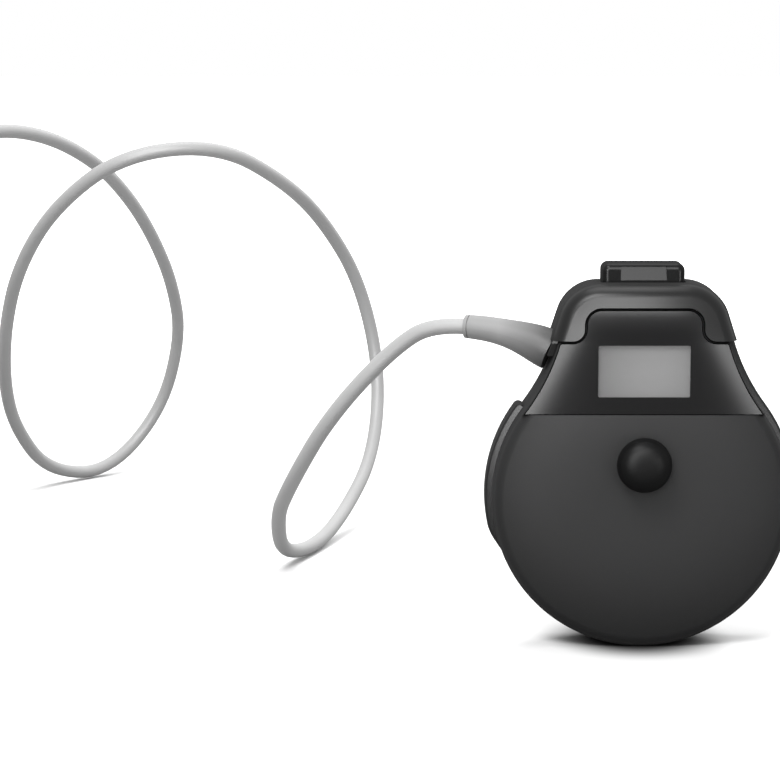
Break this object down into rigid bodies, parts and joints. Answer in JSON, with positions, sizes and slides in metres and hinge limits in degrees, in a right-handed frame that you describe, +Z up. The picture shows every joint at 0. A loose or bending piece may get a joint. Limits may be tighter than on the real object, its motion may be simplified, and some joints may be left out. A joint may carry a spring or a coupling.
{
  "type": "cardiotocograph transducer",
  "caption": "Round wireless contraction transducer of a cardiotocograph: belt stud, small display, saddle plug with release tab and a grey electrode lead in standing loops.",
  "frame": {"origin": "bottom centre of the transducer and its plug without the free lead, where its rim stands", "axes": "+X to the right as the display is read, +Y from the belt stud to the sensing face, +Z up to the plug"},
  "size_m": [0.3309, 0.2961, 0.1415],
  "materials": {
    "shell_black": "fine matte texture",
    "fascia_gloss": "polished",
    "plug_black": "satin",
    "tab_gloss": "polished",
    "window_clear": "clear",
    "display_grey": "smooth",
    "lead_grey": "satin",
    "seal_grey": "matte",
    "plunger_grey": "matte",
    "steel": "bright",
    "contact_gold": "plated",
    "board_green": "satin",
    "cell_wrap": "satin",
    "beam_aluminium": "milled",
    "flex_film": "smooth",
    "connector_black": "satin",
    "barrel_metal": "polished"
  },
  "bodies": {
    "transducer": {"front_shell": "shell_black", "rear_shell": "shell_black", "seam_gasket": "seal_grey", "fascia_panel": "fascia_gloss", "display_lens": "window_clear", "display_module": "display_grey", "display_flex": "flex_film", "belt_stud": "shell_black", "stud_screw": "steel", "shell_screws": "steel", "beam_screws": "steel", "sensor_diaphragm": "seal_grey", "strain_beam": "beam_aluminium", "main_board": "board_green", "battery_pack": "cell_wrap", "radio_shield": "steel", "buzzer": "connector_black", "antenna": "contact_gold", "contact_block": "plug_black", "contact_pads": "contact_gold"},
    "lead_plug": {"plug_housing": "plug_black", "plug_cover": "plug_black", "plug_screws": "steel", "contact_carrier": "plug_black", "contact_pins": "contact_gold", "tab_spring": "steel", "lead_boot": "lead_grey", "lead_cable": "lead_grey", "lead_coil": "lead_grey", "coil_tie": "seal_grey", "connector_relief": "lead_grey", "connector_grip": "connector_black", "connector_barrel": "barrel_metal", "connector_insert": "connector_black", "connector_pins": "contact_gold"},
    "tab": {"release_tab": "tab_gloss"},
    "plunger": {"sensor_plunger": "plunger_grey"}
  },
  "joints": [
    {"name": "plug_lift", "type": "slide", "parent": "transducer", "child": "lead_plug", "axis": [0, 0, 1], "range_m": [0, 0.018]},
    {"name": "tab_press", "type": "slide", "parent": "lead_plug", "child": "tab", "axis": [0, 0, -1], "range_m": [0, 0.001], "stiffness_N_per_m": 400, "deforming": ["tab_spring"]},
    {"name": "plunger_press", "type": "slide", "parent": "transducer", "child": "plunger", "axis": [0, -1, 0], "range_m": [0, 0.0004], "stiffness_N_per_m": 1500}
  ]
}
